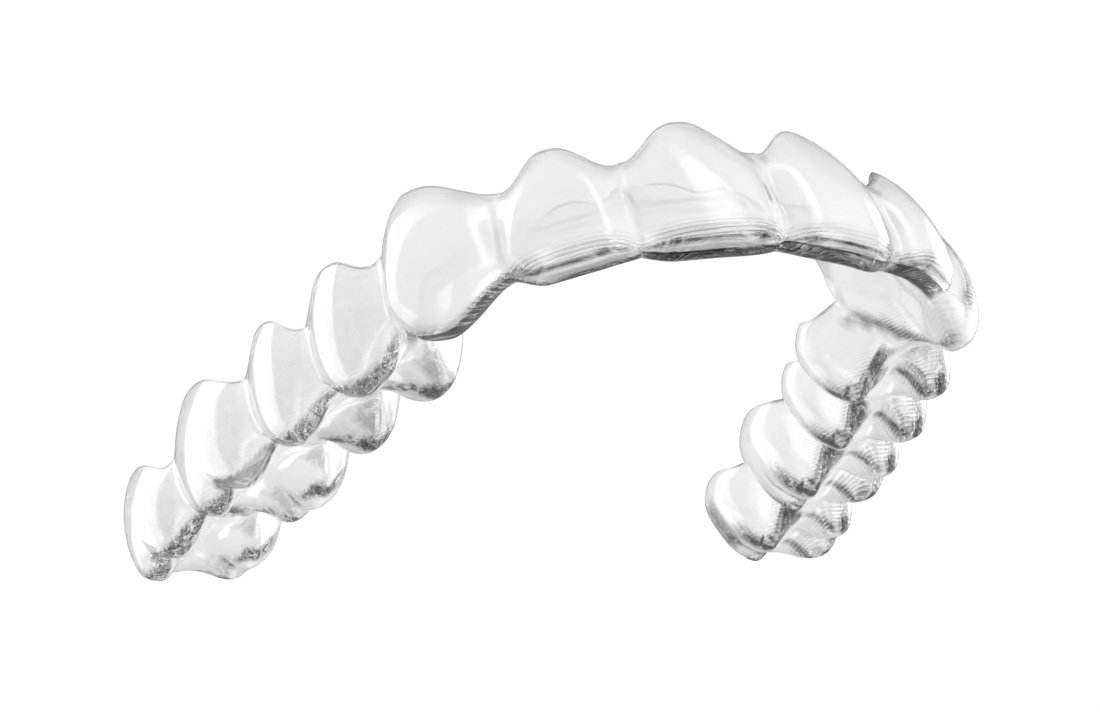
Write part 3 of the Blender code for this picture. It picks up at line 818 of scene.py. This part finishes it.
absorbs = add_node(
    tree, "ShaderNodeVolumeAbsorption", {"Color": linear(ABSORBED_COLOUR), "Density": ABSORPTION}
)
add_node(tree, "ShaderNodeOutputMaterial", {"Surface": seen, "Volume": absorbs})

mesh, arch_to_rest = shell_mesh()
shell = bpy.data.objects.new("clear_shell", mesh)
bpy.context.collection.objects.link(shell)
shell.data.materials.append(clear)
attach(shell, "root")
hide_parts("aligner_shell")

# The table: a flat sheet of white acrylic, lit evenly from below. It shows nearly white by itself, and
# the lamps above add the rest, so that the shell's soft shadow can be seen on it.

TABLE_HALF = 0.6  # metres
TABLE_GREY, TABLE_GLOW = 0.2, 0.85  # the share of the lamps' light that it gives back, and its own light

corners = TABLE_HALF * np.array([(-1, -1, 0), (1, -1, 0), (1, 1, 0), (-1, 1, 0)])
table_mesh = bpy.data.meshes.new("white_table")
table_mesh.from_pydata((corners + (0, 0, cad_box[0][2])).tolist(), [], [(0, 1, 2, 3)])
table = bpy.data.objects.new("white_table", table_mesh)
bpy.context.collection.objects.link(table)

acrylic = bpy.data.materials.new("white_acrylic_sheet")
acrylic.use_nodes = True
tree = acrylic.node_tree
tree.nodes.clear()
lit = add_node(tree, "ShaderNodeBsdfDiffuse", {"Color": (TABLE_GREY, TABLE_GREY, TABLE_GREY, 1)})
glow = add_node(tree, "ShaderNodeEmission", {"Color": (1, 1, 1, 1), "Strength": TABLE_GLOW})
backlit = add_node(tree, "ShaderNodeAddShader", {0: lit, 1: glow})
add_node(tree, "ShaderNodeOutputMaterial", {"Surface": backlit})
table_mesh.materials.append(acrylic)
table.visible_glossy = False  # the gloss shows the studio all round, also from below

# The studio: a room that is white for the camera and even grey for dull surfaces. Gloss and clear plastic
# see it darker, with tall soft strips of light that draw the pale streaks down the tooth faces. Three
# soft boxes light the shell and the table.

# Each strip: its azimuth and half its width, in degrees, and its lowest and highest place, as the sine
# of their elevation
STRIPS = [
    (38.0, 20.0, -0.9, 0.3),
    (-103.0, 9.0, -0.9, 0.3),
    (-28.0, 9.0, 0.1, 0.7),
    (170.0, 20.0, -0.5, 0.5),
]
STRIP_LIGHT = 3.0
SIDE_SOFTNESS, END_SOFTNESS = 0.02, 0.2  # of a strip's edges
CLEAR_LIGHT, GLOSS_LIGHT, EVEN_LIGHT = 0.15, 0.25, 0.55  # of the room, for clear, glossy and dull surfaces

world = bpy.data.worlds.new("studio")
world.use_nodes = True
bpy.context.scene.world = world
tree = world.node_tree
tree.nodes.clear()
direction = add_node(tree, "ShaderNodeTexCoord").outputs["Generated"]
up = add_node(tree, "ShaderNodeSeparateXYZ", {0: direction}).outputs["Z"]
level = add_node(tree, "ShaderNodeVectorMath", {0: direction, 1: (1, 1, 0)}, operation="MULTIPLY")
level = add_node(tree, "ShaderNodeVectorMath", {0: level}, operation="NORMALIZE")
ray = add_node(tree, "ShaderNodeLightPath").outputs
light = add_node(
    tree, "ShaderNodeMix", {0: ray["Is Glossy Ray"], 2: CLEAR_LIGHT, 3: GLOSS_LIGHT}, data_type="FLOAT"
)
for azimuth, half_width, low, high in STRIPS:
    azimuth, half_width = math.radians(azimuth), math.radians(half_width)
    middle = (math.cos(azimuth), math.sin(azimuth), 0)
    near = add_node(tree, "ShaderNodeVectorMath", {0: level, 1: middle}, operation="DOT_PRODUCT")
    side, soft = math.cos(half_width), SIDE_SOFTNESS / 2
    within = add_node(
        tree,
        "ShaderNodeMapRange",
        {
            "Value": near.outputs["Value"],
            "From Min": side - soft,
            "From Max": side + soft,
            "To Max": STRIP_LIGHT,
        },
        interpolation_type="SMOOTHSTEP",
    )
    soft = END_SOFTNESS / 2
    above = add_node(
        tree, "ShaderNodeMapRange", {"Value": up, "From Min": low - soft, "From Max": low + soft}
    )
    below = add_node(
        tree,
        "ShaderNodeMapRange",
        {"Value": up, "From Min": high - soft, "From Max": high + soft, "To Min": 1.0, "To Max": 0.0},
    )
    strip = add_node(tree, "ShaderNodeMath", {0: within, 1: above}, operation="MULTIPLY")
    light = add_node(tree, "ShaderNodeMath", {0: strip, 1: below, 2: light}, operation="MULTIPLY_ADD")
even = add_node(
    tree, "ShaderNodeMix", {0: ray["Is Diffuse Ray"], 2: light, 3: EVEN_LIGHT}, data_type="FLOAT"
)
seen_even = add_node(tree, "ShaderNodeMix", {0: ray["Is Camera Ray"], 2: even, 3: 1.0}, data_type="FLOAT")
room = add_node(tree, "ShaderNodeBackground", {"Color": (1, 1, 1, 1), "Strength": seen_even})
add_node(tree, "ShaderNodeOutputWorld", {"Surface": room})


def soft_box(name, place, width, height, power):
    """A rectangular soft box, in metres and watts, that looks at the foot of the shell's middle."""
    lamp = bpy.data.lights.new(name, "AREA")
    lamp.shape = "RECTANGLE"
    lamp.size, lamp.size_y, lamp.energy = width, height, power
    box = bpy.data.objects.new(name, lamp)
    box.location = place
    box.rotation_euler = (-Vector(place)).to_track_quat("-Z", "Y").to_euler()
    bpy.context.collection.objects.link(box)


soft_box("key", place=(-0.25, -0.25, 0.35), width=0.25, height=0.25, power=0.9)
soft_box("fill", place=(0.35, -0.05, 0.25), width=0.12, height=0.35, power=0.1)
soft_box("back", place=(0.0, 0.35, 0.30), width=0.30, height=0.10, power=0.3)

# The camera of the photograph: it looks down on the right front of the arch, and is turned nearly upside
# down, so that the trimmed edge is up in the picture.

AZIMUTH, ELEVATION, ROLL = 28.827, 26.617, 167.039  # degrees, before the shell is tipped to rest
DISTANCE = 135.19  # from the aim
FOCAL_PIXELS, IMAGE_WIDTH = 2115.8, 1100
FILM_WIDTH = 36.0
NEAREST_SEEN = 0.01  # metres
AIM = (3.734, 22.0, -5.986)  # in the arch's own frame


def tipped(vector):
    """A vector of the arch's own frame, tipped by the rest pitch."""
    return Matrix.Rotation(-math.radians(REST_PITCH), 3, "X") @ Vector(vector)


azimuth, elevation, roll = (math.radians(angle) for angle in (AZIMUTH, ELEVATION, ROLL))
level = Vector((math.cos(azimuth), math.sin(azimuth), 0))
ahead = Vector((-math.sin(azimuth), math.cos(azimuth), 0))
look = math.cos(elevation) * ahead - math.sin(elevation) * Vector((0, 0, 1))
upright = level.cross(look)
picture_right = math.cos(roll) * level + math.sin(roll) * upright
picture_up = math.cos(roll) * upright - math.sin(roll) * level
eye = tipped(Vector(AIM) - DISTANCE * look) * MM + Vector(arch_to_rest)

lens = bpy.data.cameras.new("camera")
lens.sensor_width = FILM_WIDTH
lens.lens = FOCAL_PIXELS * FILM_WIDTH / IMAGE_WIDTH
lens.clip_start = NEAREST_SEEN
camera = bpy.data.objects.new("camera", lens)
camera.matrix_world = Matrix.Translation(eye) @ Matrix(
    [tipped(picture_right), tipped(picture_up), -tipped(look)]
).transposed().to_4x4()
bpy.context.collection.objects.link(camera)
bpy.context.scene.camera = camera
bpy.context.scene.view_settings.view_transform = "Standard"
